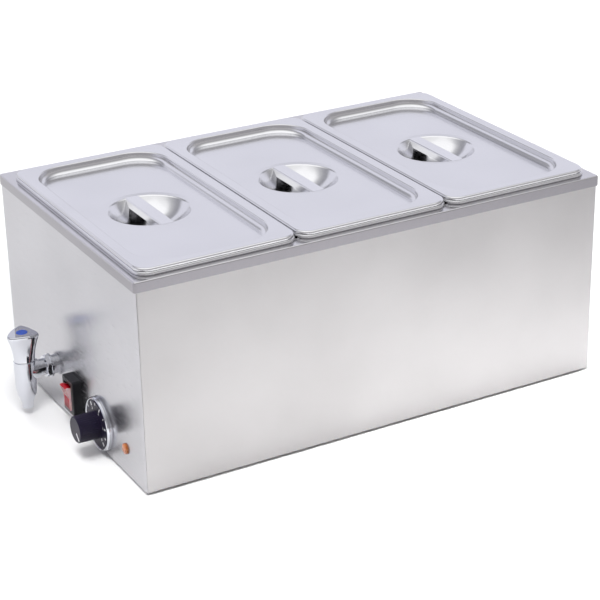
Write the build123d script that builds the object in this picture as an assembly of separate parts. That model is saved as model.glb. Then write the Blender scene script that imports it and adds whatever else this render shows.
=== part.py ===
from build123d import *
import os
from math import acos, cos, pi, radians, sin, tan

# Countertop steam table with three lidded food pans, in millimetres.
# +X runs along the casing away from the control end, +Y to the back, +Z up from the table.
# Sub-parts are drawn about the middle of the casing. CASE_SHIFT then moves them all, so
# that the origin lies on the table under the middle of the whole outline, tap included.

# ---- driving dimensions: casing and deck -------------------------------------------
DECK_LENGTH = 544.0
DECK_WIDTH = 350.0
DECK_HEIGHT = 230.0
DECK_FLANGE = 11.0
DECK_OVERHANG = 1.5
DECK_CORNER = 3.0
DECK_EDGE = 1.5
SHEET = 1.0
TABLE_GAP = 3.0
RETURN_WIDTH = 12.0
BEND = 2.0
FIT = 0.1
HOLE_PLAY = 0.4

# ---- driving dimensions: pans and lids, on the one-third gastronorm size -------------
PAN_PITCH = 176.0
PAN_NAMES = ("left", "middle", "right")
PAN_WIDTH = 175.4
PAN_LENGTH = 325.0
PAN_DEPTH = 150.0
PAN_SHEET = 0.8
PAN_RIM_CORNER = 16.0
PAN_RIM_HEIGHT = 3.7
PAN_FLANGE = 11.0
PAN_BODY_CORNER = 38.0
PAN_BOTTOM_FILLET = 12.0
PAN_TAPER = 2.3
REST_GAP = 0.3
WELL_Y = -5.0

LID_WIDTH = 174.0
LID_LENGTH = 323.0
LID_SHEET = 0.8
LID_EDGE_HEIGHT = 3.0
LID_RECESS_WIDTH = 147.0
LID_RECESS_LENGTH = 296.0
LID_RECESS_CORNER = 37.0
LID_RECESS_DEPTH = 9.0
BOWL_RADIUS = 43.0
BOWL_DEPTH = 21.0
BOWL_SHOULDER = 50.0
BOWL_SHOULDER_DROP = 0.6
BAR_WIDTH = 16.0
BAR_HEIGHT = 8.0

# ---- driving dimensions: water tank, heater and drain --------------------------------
TANK_FLOOR = 64.0
TANK_LENGTH = 510.0
TANK_WIDTH = 306.0
TANK_CORNER = 20.0
TANK_FLOOR_FILLET = 10.0
TANK_FLANGE = 8.0
HEATER_TUBE = 4.0
HEATER_LEVEL = TANK_FLOOR + 10.0
HEATER_BEND = 8.0
HEATER_TAIL = 24.0
HEATER_X = -215.0
HEATER_NEAR_X, HEATER_FAR_X = -150.0, 175.0
HEATER_OUTER_Y = 105.0
HEATER_INNER_Y = 45.0
HEATER_CLIPS_X = (-60.0, 110.0)

# ---- driving dimensions: controls on the end panel -----------------------------------
PANEL_X = DECK_OVERHANG - DECK_LENGTH / 2
TAP_Y, TAP_Z = 54.5, 50.5
TAP_REACH = 33.8
TAP_TUBE = 9.0
TAP_SEAM_Z, TAP_TOP_Z, TAP_SPOUT_Z = 64.0, 96.0, 8.0
TAP_HANDLE_RADIUS, TAP_HANDLE_WAIST = 18.5, 13.4
TAP_HANDLE_SIDE = 17.823
TAP_LOBES = 3
TAP_LOBE_ANGLE = 78.0
SWITCH_Y, SWITCH_Z = -4.5, 40.5
SWITCH_WIDTH, SWITCH_HEIGHT, SWITCH_PROUD = 27.0, 40.0, 10.0
ROCKER_TILT = 8.0
DIAL_Y, DIAL_Z = -67.0, 33.5
BEZEL_RADIUS = 29.0
SKIRT_RADIUS = 25.4
KNOB_RADIUS = 14.2
KNOB_REACH = 29.0
PILOT_Y, PILOT_Z = -127.5, 32.0
PILOT_RADIUS = 5.8
INLET_X, INLET_Z = -215.0, 26.0

# ---- driving dimensions: small pieces -----------------------------------------------
BASE_SCREW_RADIUS = 1.6
FOOT_SCREW_RADIUS = 2.0
FOOT_SEAT = 2.4
NUT_FLATS, NUT_HEIGHT = 7.0, 3.2
VENT_LENGTH, VENT_WIDTH, VENT_PITCH = 60.0, 4.0, 12.0
VENT_ROWS = 6
VENT_GROUPS = (-130.0, 40.0, 150.0)
BUSH_RADIUS = 7.0
GASKET = 1.6
DRAIN_OUTER, DRAIN_INNER = 8.0, 6.0
TAP_BODY_RADIUS = 11.5
NOZZLE_TOP, NOZZLE_SHOULDER = 24.0, 10.2
SPOUT_RADIUS, SPOUT_STRAIGHT = 6.1, 5.0
SPINDLE_RADIUS, SPINDLE_PLAY = 4.0, 0.08
SPINDLE_LOW = 46.0
BONNET_TOP = 78.0
SQUARE, SQUARE_CORNER = 6.4, 0.4
SQUARE_TOP = BONNET_TOP + 10.0
HANDLE_SCREW = 1.55
HANDLE_SEAT = 5.0
INDEX_RADIUS = 6.2
WASHER = 5.0
WASHER_RADIUS = 10.4
SWITCH_BODY_WIDTH, SWITCH_BODY_HEIGHT, SWITCH_BODY_DEPTH = 21.0, 32.0, 20.0
ROCKER_WIDTH, ROCKER_HALF_HEIGHT = 16.4, 13.3
ROCKER_PIVOT = 4.5
ROCKER_WINDOW = (17.0, 29.4)
ROCKER_PIN = 1.0
BLADE_LENGTH, BLADE_HALF = 8.0, 0.4
BLADE_Y, BLADE_Z = 5.0, 8.0
THERMOSTAT_NECK = 4.8
THERMOSTAT_SCREW_RADIUS = 2.0
THERMOSTAT_SCREW_END = 8.0
THERMOSTAT_DEPTH = 28.0
BLADE_LIFT, BLADE_WIDE = 6.4, 2.4
SHAFT_RADIUS, SHAFT_END, SHAFT_COVER = 3.0, 10.0, 8.0
SKIRT_BACK, SKIRT_FRONT = 3.0, 5.6
CAPILLARY_RADIUS = 1.1
BULB_RADIUS, BULB_END = 3.2, 1.4
BULB_X_LOW, BULB_X_HIGH = -90.0, -5.0
BULB_Y = -12.0
BULB_Z = TANK_FLOOR - SHEET - BULB_RADIUS
FLUTES = 36
TICKS = 11
TICK_SWEEP = 270.0
TICK_START = 225.0
PILOT_NECK = 4.2
INLET_HOLE = 8.0
INLET_BORE = 4.5
BLOCK_X, BLOCK_Y = -176.0, 112.0
BLOCK_POLES = 3
POLE_PITCH = 9.0
BLOCK_SCREW, BLOCK_SCREW_X, BLOCK_WIRE_LEVEL = 1.9, 4.5, 6.0
EARTH_RADIUS = 2.0
EARTH_X, EARTH_Y = -205.0, 130.0
CUTOUT_X, CUTOUT_Y = -120.0, 40.0
CUTOUT_RADIUS, CUTOUT_LEG_Y = 8.0, 4.0
LEAD_RADIUS, LEAD_GAP = 1.3, 0.5
LID_STEP_FILLET = 6.0
LID_LIP_FILLET = 1.5
LID_EDGE_FILLET = 2.0
PAN_EDGE_FILLET = 2.6
BOWL_LIP_FILLET = 2.5

# ---- places that follow from them ------------------------------------------------------
CASE_SHIFT = (TAP_REACH + TAP_HANDLE_SIDE - DECK_OVERHANG) / 2
CASE_X = DECK_LENGTH / 2 - DECK_OVERHANG
CASE_Y = DECK_WIDTH / 2 - DECK_OVERHANG
CASE_TOP = DECK_HEIGHT - SHEET
RETURN_Z = TABLE_GAP + SHEET
BASE_TOP = RETURN_Z + SHEET
PAN_CENTRES = [PAN_PITCH * (index - 1) for index in range(len(PAN_NAMES))]
PAN_RIM_LOW = DECK_HEIGHT + REST_GAP
PAN_RIM_TOP = PAN_RIM_LOW + PAN_RIM_HEIGHT
LID_LOW = PAN_RIM_TOP + REST_GAP
LID_TOP = LID_LOW + LID_EDGE_HEIGHT
LID_PANEL = LID_TOP - LID_RECESS_DEPTH
TAP_X = PANEL_X - TAP_REACH
FOOT_PLACES = [(x, y) for x in (-235.0, 235.0) for y in (-140.0, 140.0)]
BASE_SCREWS = [(x, y) for x in (-200.0, 0.0, 200.0) for y in (-166.0, 166.0)]
BASE_SCREWS += [(x, y) for x in (-263.0, 263.0) for y in (-110.0, 110.0)]
HEATER_ENDS = [(HEATER_X, WELL_Y + side * HEATER_OUTER_Y) for side in (-1, 1)]
DRAIN_X = PANEL_X + 38.5
THERMOSTAT_SCREWS = [(DIAL_Y, DIAL_Z + side * 14.0) for side in (-1, 1)]


# ---- small helpers -----------------------------------------------------------------------
def slab(length, width, radius, low, high, centre=(0.0, 0.0)):
    """A flat block with rounded upright corners between two heights."""
    outline = RectangleRounded(length, width, radius)
    return Pos(centre[0], centre[1], low) * extrude(outline, high - low)


def block(x_span, y_span, z_span):
    """A plain box between two corners, each span given as (low, high)."""
    spans = (x_span, y_span, z_span)
    middle = [(low + high) / 2 for low, high in spans]
    size = [high - low for low, high in spans]
    return Pos(*middle) * Box(*size)


def rod_x(radius, x_low, x_high, y, z):
    """A cylinder along X."""
    turned = Rot(0, 90, 0) * Cylinder(radius, x_high - x_low)
    return Pos((x_low + x_high) / 2, y, z) * turned


def rod_y(radius, length, x, y, z):
    """A cylinder along Y about a centre."""
    return Pos(x, y, z) * Rot(90, 0, 0) * Cylinder(radius, length)


def rod_z(radius, z_low, z_high, x=0.0, y=0.0):
    """A cylinder along Z."""
    return Pos(x, y, (z_low + z_high) / 2) * Cylinder(radius, z_high - z_low)


def hexagon_z(across_flats, z_low, z_high, x, y):
    """A hexagonal prism along Z."""
    outline = RegularPolygon(across_flats / 2, 6, major_radius=False)
    return Pos(x, y, z_low) * extrude(outline, z_high - z_low)


def edges_at(shape, height):
    """The horizontal edges of a shape that lie at one height."""
    near = 0.01
    return shape.edges().filter_by_position(Axis.Z, height - near, height + near)


def around_x(profile, x, y, z):
    """Turns (distance out of the panel, radius) points about an X axis through a place."""
    outline = make_face(Polyline(*[(-out, radius) for out, radius in profile], close=True))
    return Pos(x, y, z) * revolve(outline, Axis.X)


def around_z(profile, x, y):
    """Turns (radius, height) points about a Z axis through a place."""
    points = [(radius, 0, height) for radius, height in profile]
    outline = make_face(Polyline(*points, close=True))
    return Pos(x, y, 0) * revolve(outline, Axis.Z)


def turn_between(before, corner, after):
    """The angle in degrees by which a route turns at a corner."""
    return (Vector(corner) - Vector(before)).get_angle(Vector(after) - Vector(corner))


def tube(points, radius):
    """A round wire or tube whose bends are as large as its runs allow."""
    radii = []
    for before, corner, after in zip(points, points[1:], points[2:]):
        shorter = min((Vector(corner) - Vector(before)).length, (Vector(after) - Vector(corner)).length)
        half_turn = radians(turn_between(before, corner, after)) / 2
        radii.append(0.45 * shorter / tan(half_turn))
    path = FilletPolyline(*points, radius=radii) if radii else Line(*points)
    return sweep_round(path, radius)


def sweep_round(path, radius):
    """A round section carried along a path."""
    section = Plane(path @ 0, z_dir=path % 0) * Circle(radius)
    return sweep(section, path)


# ---- casing ----------------------------------------------------------------------------------
def top_deck():
    """Flat deck with a folded-down outer flange and the opening for the pans."""
    low = DECK_HEIGHT - DECK_FLANGE
    skin = slab(DECK_LENGTH, DECK_WIDTH, DECK_CORNER, low, DECK_HEIGHT)
    skin = fillet(edges_at(skin, DECK_HEIGHT), DECK_EDGE)
    inner = (DECK_LENGTH - 2 * SHEET, DECK_WIDTH - 2 * SHEET, DECK_CORNER - SHEET)
    skin -= slab(*inner, low, CASE_TOP)
    opening = slab(TANK_LENGTH, TANK_WIDTH, TANK_CORNER, CASE_TOP, DECK_HEIGHT, (0, WELL_Y))
    return skin - opening


def body_wrapper():
    """Front, far end and back of the casing, bent from one sheet, with folded returns."""
    low_x = PANEL_X + SHEET
    length, width = CASE_X - low_x, 2 * CASE_Y
    centre = ((CASE_X + low_x) / 2, 0)
    skin = slab(length, width, BEND, TABLE_GAP, CASE_TOP, centre)
    skin -= slab(length - 2 * SHEET, width - 2 * SHEET, BEND - SHEET, TABLE_GAP, CASE_TOP, centre)
    open_y = CASE_Y - RETURN_WIDTH
    skin -= block((low_x - SHEET, low_x + 2 * SHEET), (-open_y, open_y), (TABLE_GAP, CASE_TOP))
    foot = slab(length, width, BEND, TABLE_GAP, RETURN_Z, centre)
    open_x = CASE_X - RETURN_WIDTH
    foot -= block((low_x - SHEET, open_x), (-open_y, open_y), (TABLE_GAP, RETURN_Z))
    foot -= block((low_x - SHEET, low_x + RETURN_WIDTH), (-CASE_Y, CASE_Y), (TABLE_GAP, RETURN_Z))
    skin += foot
    skin -= Pos(INLET_X, CASE_Y, INLET_Z) * Rot(90, 0, 0) * Cylinder(INLET_HOLE, 4 * SHEET)
    return skin - screw_holes()


def screw_holes():
    """Clearance holes for the base screws."""
    holes = [rod_z(BASE_SCREW_RADIUS + FIT, TABLE_GAP, BASE_TOP, x, y) for x, y in BASE_SCREWS]
    return Part() + holes


def control_panel():
    """End panel that carries the tap, switch, dial and pilot light."""
    half_width = CASE_Y - SHEET / 2
    skin = block((PANEL_X, PANEL_X + SHEET), (-half_width, half_width), (TABLE_GAP, CASE_TOP))
    half_return = CASE_Y - RETURN_WIDTH - 2 * SHEET
    low_x = PANEL_X + SHEET
    skin += block((low_x, low_x + RETURN_WIDTH - SHEET), (-half_return, half_return), (TABLE_GAP, RETURN_Z))
    through = (PANEL_X - SHEET, PANEL_X + 2 * SHEET)
    skin -= rod_x(TAP_TUBE + HOLE_PLAY, *through, TAP_Y, TAP_Z)
    skin -= rod_x(THERMOSTAT_NECK + HOLE_PLAY, *through, DIAL_Y, DIAL_Z)
    skin -= rod_x(PILOT_NECK + FIT, *through, PILOT_Y, PILOT_Z)
    for y, z in THERMOSTAT_SCREWS:
        skin -= rod_x(THERMOSTAT_SCREW_RADIUS + FIT, *through, y, z)
    half_y, half_z = SWITCH_BODY_WIDTH / 2 + FIT, SWITCH_BODY_HEIGHT / 2 + FIT
    skin -= block(through, (SWITCH_Y - half_y, SWITCH_Y + half_y), (SWITCH_Z - half_z, SWITCH_Z + half_z))
    return skin - screw_holes()


def base_plate():
    """Floor of the casing, with vent slots and holes for the feet and screws."""
    low_x, high_x = PANEL_X + SHEET + BEND, CASE_X - SHEET - FIT
    half_y = CASE_Y - SHEET - FIT
    centre = ((low_x + high_x) / 2, 0)
    plate = slab(high_x - low_x, 2 * half_y, BEND, RETURN_Z, BASE_TOP, centre)
    plate -= screw_holes()
    for x, y in FOOT_PLACES:
        plate -= rod_z(FOOT_SCREW_RADIUS + FIT, RETURN_Z, BASE_TOP, x, y)
    slot = extrude(SlotOverall(VENT_LENGTH, VENT_WIDTH), SHEET)
    for x in VENT_GROUPS:
        for row in range(VENT_ROWS):
            plate -= Pos(x, (row - (VENT_ROWS - 1) / 2) * VENT_PITCH, RETURN_Z) * slot
    plate -= rod_z(EARTH_RADIUS + FIT, RETURN_Z, BASE_TOP, EARTH_X, EARTH_Y)
    return plate


def base_screws():
    """Pan-head screws that hold the floor to the returns of the casing."""
    head_radius, head_height, head_edge, tail = 3.2, 1.8, 0.8, 4.0
    head_low = TABLE_GAP - head_height
    screws = []
    for x, y in BASE_SCREWS:
        head = rod_z(head_radius, head_low, TABLE_GAP, x, y)
        head = fillet(edges_at(head, head_low), head_edge)
        screws.append(head + rod_z(BASE_SCREW_RADIUS, TABLE_GAP, BASE_TOP + tail, x, y))
    return screws


def rubber_feet():
    """Four low rubber feet with a sunk seat for the screw head."""
    foot_radius, foot_edge, seat_radius = 12.0, 1.2, 5.0
    feet = []
    for x, y in FOOT_PLACES:
        foot = rod_z(foot_radius, 0, RETURN_Z, x, y)
        foot = fillet(edges_at(foot, 0), foot_edge)
        foot -= rod_z(seat_radius, 0, FOOT_SEAT, x, y)
        feet.append(foot - rod_z(FOOT_SCREW_RADIUS + FIT, 0, RETURN_Z, x, y))
    return feet


def foot_screws():
    """Screws up through the feet."""
    head_radius, head_low, tail = 4.0, 0.6, 5.0
    screws = []
    for x, y in FOOT_PLACES:
        head = rod_z(head_radius, head_low, FOOT_SEAT, x, y)
        screws.append(head + rod_z(FOOT_SCREW_RADIUS, FOOT_SEAT, BASE_TOP + tail, x, y))
    return screws


def foot_nuts():
    """Hexagon nuts on the foot screws, on the floor's upper face."""
    nuts = []
    for x, y in FOOT_PLACES:
        nut = hexagon_z(NUT_FLATS, BASE_TOP, BASE_TOP + NUT_HEIGHT, x, y)
        nuts.append(nut - rod_z(FOOT_SCREW_RADIUS, BASE_TOP, BASE_TOP + NUT_HEIGHT, x, y))
    return nuts


# ---- water tank and heater -------------------------------------------------------------------
def water_tank():
    """Deep tank with a rim welded under the deck and holes for the heater and drain."""
    outer_length, outer_width = TANK_LENGTH + 2 * SHEET, TANK_WIDTH + 2 * SHEET
    centre = (0, WELL_Y)
    floor = TANK_FLOOR - SHEET
    shell = slab(outer_length, outer_width, TANK_CORNER + SHEET, floor, CASE_TOP, centre)
    shell = fillet(edges_at(shell, floor), TANK_FLOOR_FILLET + SHEET)
    rim = (outer_length + 2 * TANK_FLANGE, outer_width + 2 * TANK_FLANGE, TANK_CORNER + TANK_FLANGE)
    shell += slab(*rim, CASE_TOP - SHEET, CASE_TOP, centre)
    water = slab(TANK_LENGTH, TANK_WIDTH, TANK_CORNER, TANK_FLOOR, CASE_TOP, centre)
    shell -= fillet(edges_at(water, TANK_FLOOR), TANK_FLOOR_FILLET)
    for x, y in HEATER_ENDS:
        shell -= rod_z(BUSH_RADIUS + FIT, floor, TANK_FLOOR, x, y)
    return shell - rod_z(DRAIN_OUTER + 4 * FIT, floor, TANK_FLOOR, DRAIN_X, TAP_Y)


def heating_element():
    """Immersed heater tube: two long hairpins above the tank floor, ends down through it."""
    level = HEATER_LEVEL
    low = TANK_FLOOR - HEATER_TAIL
    bend = HEATER_BEND
    far_x, near_x = HEATER_FAR_X, HEATER_NEAR_X
    loop = (HEATER_OUTER_Y - HEATER_INNER_Y) / 2
    front, back = WELL_Y - HEATER_OUTER_Y, WELL_Y + HEATER_OUTER_Y
    front_in, back_in = WELL_Y - HEATER_INNER_Y, WELL_Y + HEATER_INNER_Y
    start, end = Vector(HEATER_X, front, level), Vector(HEATER_X, back, level)
    up = Vector(0, 0, 1)
    along = Vector(1, 0, 0)
    quarter = 1 - cos(pi / 4)
    lines = [
        Line(start - up * (level - low), start - up * bend),
        ThreePointArc(start - up * bend, start - up * bend * (1 - sin(pi / 4)) + along * bend * quarter,
                      start + along * bend),
        Line(start + along * bend, (far_x, front, level)),
        ThreePointArc((far_x, front, level), (far_x + loop, front + loop, level), (far_x, front_in, level)),
        Line((far_x, front_in, level), (near_x, front_in, level)),
        ThreePointArc((near_x, front_in, level), (near_x - HEATER_INNER_Y, WELL_Y, level),
                      (near_x, back_in, level)),
        Line((near_x, back_in, level), (far_x, back_in, level)),
        ThreePointArc((far_x, back_in, level), (far_x + loop, back - loop, level), (far_x, back, level)),
        Line((far_x, back, level), end + along * bend),
        ThreePointArc(end + along * bend, end - up * bend * (1 - sin(pi / 4)) + along * bend * quarter,
                      end - up * bend),
        Line(end - up * bend, end - up * (level - low)),
    ]
    return sweep_round(Wire(lines), HEATER_TUBE)


def element_bushes():
    """Threaded bushes that carry the heater's ends through the tank floor."""
    lip, shank, tail, step = 1.5, 12.0, 18.0, 1.5
    bushes = []
    for x, y in HEATER_ENDS:
        bush = rod_z(BUSH_RADIUS, TANK_FLOOR - shank, TANK_FLOOR + lip, x, y)
        bush += rod_z(BUSH_RADIUS - step, TANK_FLOOR - tail, TANK_FLOOR - shank, x, y)
        bushes.append(bush - heater_bore(x, y))
    return bushes


def heater_bore(x, y):
    """The hole that the heater tube's end stands in."""
    reach = 30.0
    return rod_z(HEATER_TUBE + FIT / 2, TANK_FLOOR - reach, HEATER_LEVEL, x, y)


def element_gaskets():
    """Silicone seals under the tank floor, one on each bush."""
    high = TANK_FLOOR - SHEET
    low, radius = high - GASKET, 11.0
    return [rod_z(radius, low, high, x, y) - rod_z(BUSH_RADIUS, low, high, x, y) for x, y in HEATER_ENDS]


def element_nuts():
    """Hexagon nuts that clamp the seals."""
    flats, height = 19.0, 5.0
    high = TANK_FLOOR - SHEET - GASKET
    low = high - height
    return [hexagon_z(flats, low, high, x, y) - rod_z(BUSH_RADIUS, low, high, x, y) for x, y in HEATER_ENDS]


def element_terminals():
    """Ceramic ends and screw pins of the heater."""
    bead_radius, bead, pin_radius, pin = 3.4, 4.0, 1.6, 8.0
    high = TANK_FLOOR - HEATER_TAIL
    ends = []
    for x, y in HEATER_ENDS:
        ends.append(rod_z(bead_radius, high - bead, high, x, y))
        ends.append(rod_z(pin_radius, high - bead - pin, high - bead, x, y))
    return ends


def element_clips():
    """Saddles that hold the heater tube off the tank floor."""
    half_x, half_y = 3.0, 6.0
    hole = HEATER_TUBE + FIT / 2
    clips = []
    for x in HEATER_CLIPS_X:
        for offset in (-HEATER_OUTER_Y, -HEATER_INNER_Y, HEATER_INNER_Y, HEATER_OUTER_Y):
            y = WELL_Y + offset
            post = block((x - half_x, x + half_x), (y - half_y, y + half_y), (TANK_FLOOR, HEATER_LEVEL))
            clips.append(post - rod_x(hole, x - half_x, x + half_x, y, HEATER_LEVEL))
    return clips


def drain_elbow():
    """Elbow from the tank floor to the socket behind the tap."""
    rise = TANK_FLOOR - TAP_Z
    socket_low, socket_high, socket_radius, stop = PANEL_X + 9.0, PANEL_X + 23.0, 12.0, 3.0
    foot = Vector(DRAIN_X - rise, TAP_Y, TAP_Z)
    head = Vector(DRAIN_X, TAP_Y, TANK_FLOOR)
    middle = Vector(DRAIN_X - rise * (1 - sin(pi / 4)), TAP_Y, TAP_Z + rise * (1 - cos(pi / 4)))
    path = Wire([Line((socket_high - stop, TAP_Y, TAP_Z), foot), ThreePointArc(foot, middle, head)])
    elbow = sweep_round(path, DRAIN_OUTER)
    elbow += rod_x(socket_radius, socket_low, socket_high, TAP_Y, TAP_Z)
    elbow -= sweep_round(path, DRAIN_INNER)
    return elbow - rod_x(TAP_TUBE + FIT / 2, socket_low, socket_high - stop, TAP_Y, TAP_Z)


# ---- tap -----------------------------------------------------------------------------------------
def tap_body():
    """Chrome body: upright barrel with a side tube that passes through the panel."""
    waist_z, chamfer = 46.0, 1.0
    tube_end, boss, boss_end = PANEL_X + 12.0, 1.6, TAP_X + 14.5
    tube_bore, body_bore = 5.5, 5.0
    straight = [(TAP_BODY_RADIUS, 0, waist_z), (TAP_BODY_RADIUS, 0, TAP_SEAM_Z - chamfer)]
    straight += [(TAP_BODY_RADIUS - chamfer, 0, TAP_SEAM_Z), (0, 0, TAP_SEAM_Z), (0, 0, NOZZLE_TOP)]
    straight += [(NOZZLE_SHOULDER, 0, NOZZLE_TOP)]
    curve = Spline(straight[-1], straight[0], tangents=[(0.2, 0, 1), (0, 0, 1)])
    profile = make_face(Wire([*Polyline(*straight).edges(), curve]))
    body = Pos(TAP_X, TAP_Y, 0) * revolve(profile, Axis.Z)
    body += rod_x(TAP_TUBE, TAP_X, tube_end, TAP_Y, TAP_Z)
    body += rod_x(TAP_TUBE + boss, TAP_X, boss_end, TAP_Y, TAP_Z)
    body -= rod_x(tube_bore, TAP_X, tube_end, TAP_Y, TAP_Z)
    body -= rod_z(body_bore, NOZZLE_TOP, SPINDLE_LOW, TAP_X, TAP_Y)
    return body - rod_z(SPINDLE_RADIUS + SPINDLE_PLAY, SPINDLE_LOW, TAP_SEAM_Z, TAP_X, TAP_Y)


def tap_nozzle():
    """Spout tip pressed into the foot of the tap body."""
    bore, plug, plug_top, edge = 3.6, 4.9, NOZZLE_TOP + 5.0, 0.4
    outer = [(bore, TAP_SPOUT_Z), (SPOUT_RADIUS - edge, TAP_SPOUT_Z), (SPOUT_RADIUS, TAP_SPOUT_Z + edge)]
    outer += [(SPOUT_RADIUS, TAP_SPOUT_Z + SPOUT_STRAIGHT), (NOZZLE_SHOULDER - edge / 2, NOZZLE_TOP)]
    outer += [(plug, NOZZLE_TOP), (plug, plug_top), (bore, plug_top)]
    return around_z(outer, TAP_X, TAP_Y)


def tap_bonnet():
    """Brass gland on top of the body, round the spindle and inside the handle."""
    collar_radius, collar_top, neck_radius = 8.0, TAP_SEAM_Z + 5.0, 6.5
    collar = rod_z(collar_radius, TAP_SEAM_Z, collar_top, TAP_X, TAP_Y)
    collar += rod_z(neck_radius, collar_top, BONNET_TOP - 1, TAP_X, TAP_Y)
    return collar - rod_z(SPINDLE_RADIUS + SPINDLE_PLAY, TAP_SEAM_Z, BONNET_TOP, TAP_X, TAP_Y)


def tap_spindle():
    """Spindle with a square head that the handle turns."""
    stem = rod_z(SPINDLE_RADIUS, SPINDLE_LOW + 0.5, BONNET_TOP, TAP_X, TAP_Y)
    square = slab(SQUARE, SQUARE, SQUARE_CORNER, BONNET_TOP, SQUARE_TOP, (TAP_X, TAP_Y))
    return stem + square - rod_z(HANDLE_SCREW + FIT / 2, BONNET_TOP + 1, SQUARE_TOP, TAP_X, TAP_Y)


def lobed_outline(radius, waist):
    """A rounded three-lobed outline: lobe tips at one radius, waists at a smaller one."""
    tips = []
    for index in range(2 * TAP_LOBES):
        reach = radius if index % 2 == 0 else waist
        angle = radians(TAP_LOBE_ANGLE + index * 180 / TAP_LOBES)
        tips.append((reach * cos(angle), reach * sin(angle)))
    return make_face(Spline(*tips, periodic=True))


def tap_handle():
    """Three-lobed handle that widens upwards, hollow round the gland."""
    low, waist_z, cap_height, cap_edge = TAP_SEAM_Z + 0.4, TAP_SEAM_Z + 13.0, 3.0, 1.8
    cavity, screw_hole = 9.0, 2.0
    place = Pos(TAP_X, TAP_Y, 0)
    foot = Pos(0, 0, low) * lobed_outline(11.8, 10.6)
    waist = Pos(0, 0, waist_z) * lobed_outline(13.6, 10.4)
    head = Pos(0, 0, TAP_TOP_Z - cap_height) * lobed_outline(TAP_HANDLE_RADIUS, TAP_HANDLE_WAIST)
    grip = place * loft([foot, waist, head])
    cap = fillet(edges_at(extrude(head, cap_height), TAP_TOP_Z), cap_edge)
    grip += place * cap
    grip -= rod_z(cavity, low, BONNET_TOP, TAP_X, TAP_Y)
    side = SQUARE + FIT
    grip -= slab(side, side, SQUARE_CORNER, BONNET_TOP, SQUARE_TOP + FIT, (TAP_X, TAP_Y))
    grip -= rod_z(screw_hole, BONNET_TOP, TAP_TOP_Z, TAP_X, TAP_Y)
    return grip - rod_z(INDEX_RADIUS + FIT / 2, TAP_TOP_Z - HANDLE_SEAT, TAP_TOP_Z, TAP_X, TAP_Y)


def tap_handle_screw():
    """Screw that holds the handle on the spindle, under the index disc."""
    seat, head_radius, head_height, tail = TAP_TOP_Z - HANDLE_SEAT, 3.4, 2.2, BONNET_TOP + 4.0
    head = rod_z(head_radius, seat, seat + head_height, TAP_X, TAP_Y)
    return head + rod_z(HANDLE_SCREW, tail, seat, TAP_X, TAP_Y)


def tap_index_disc():
    """Blue disc snapped into the top of the handle."""
    proud, sunk, edge = 0.3, 2.2, 0.7
    disc = rod_z(INDEX_RADIUS, TAP_TOP_Z - sunk, TAP_TOP_Z + proud, TAP_X, TAP_Y)
    return fillet(edges_at(disc, TAP_TOP_Z + proud), edge)


def tap_flange_nut():
    """Hexagon nut with a round collar on the tap tube, against the spacer."""
    half_flats, height, corner, chamfer = 11.6, 7.0, 13.0, 1.2
    collar_radius, collar = 12.8, 2.0
    face = PANEL_X - WASHER
    outline = RegularPolygon(half_flats, 6, major_radius=False)
    nut = Pos(face, TAP_Y, TAP_Z) * Rot(0, -90, 0) * extrude(outline, height)
    turned = [(0, 0), (0, corner), (height - chamfer, corner), (height, corner - chamfer), (height, 0)]
    nut &= around_x(turned, face, TAP_Y, TAP_Z)
    nut += rod_x(collar_radius, face - collar, face, TAP_Y, TAP_Z)
    return nut - rod_x(TAP_TUBE, face - height, face, TAP_Y, TAP_Z)


def tap_washer():
    """Plain steel spacer between the flange nut and the panel."""
    ring = rod_x(WASHER_RADIUS, PANEL_X - WASHER, PANEL_X, TAP_Y, TAP_Z)
    return ring - rod_x(TAP_TUBE, PANEL_X - WASHER, PANEL_X, TAP_Y, TAP_Z)


def tap_locknut():
    """Thin nut on the tap tube behind the panel."""
    half_flats, height = 12.0, 5.0
    face = PANEL_X + SHEET
    outline = RegularPolygon(half_flats, 6, major_radius=False)
    nut = Pos(face, TAP_Y, TAP_Z) * Rot(0, 90, 0) * extrude(outline, height)
    return nut - rod_x(TAP_TUBE, face, face + height, TAP_Y, TAP_Z)


# ---- rocker switch ---------------------------------------------------------------------------
def switch_housing():
    """Raised black frame with a body that plugs through the panel."""
    front = PANEL_X - SWITCH_PROUD
    corner, edge, well = 2.0, 1.0, 8.0
    outline = RectangleRounded(SWITCH_HEIGHT, SWITCH_WIDTH, corner)
    frame = Pos(front, SWITCH_Y, SWITCH_Z) * Rot(0, 90, 0) * extrude(outline, SWITCH_PROUD)
    frame = fillet(frame.faces().sort_by(Axis.X)[0].edges(), edge)
    half_y, half_z = SWITCH_BODY_WIDTH / 2, SWITCH_BODY_HEIGHT / 2
    y_span, z_span = (SWITCH_Y - half_y, SWITCH_Y + half_y), (SWITCH_Z - half_z, SWITCH_Z + half_z)
    frame += block((PANEL_X, PANEL_X + SWITCH_BODY_DEPTH), y_span, z_span)
    window_y, window_z = ROCKER_WINDOW
    y_span = (SWITCH_Y - window_y / 2, SWITCH_Y + window_y / 2)
    z_span = (SWITCH_Z - window_z / 2, SWITCH_Z + window_z / 2)
    frame -= block((front, PANEL_X + well), y_span, z_span)
    return frame - switch_pivot()


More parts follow.
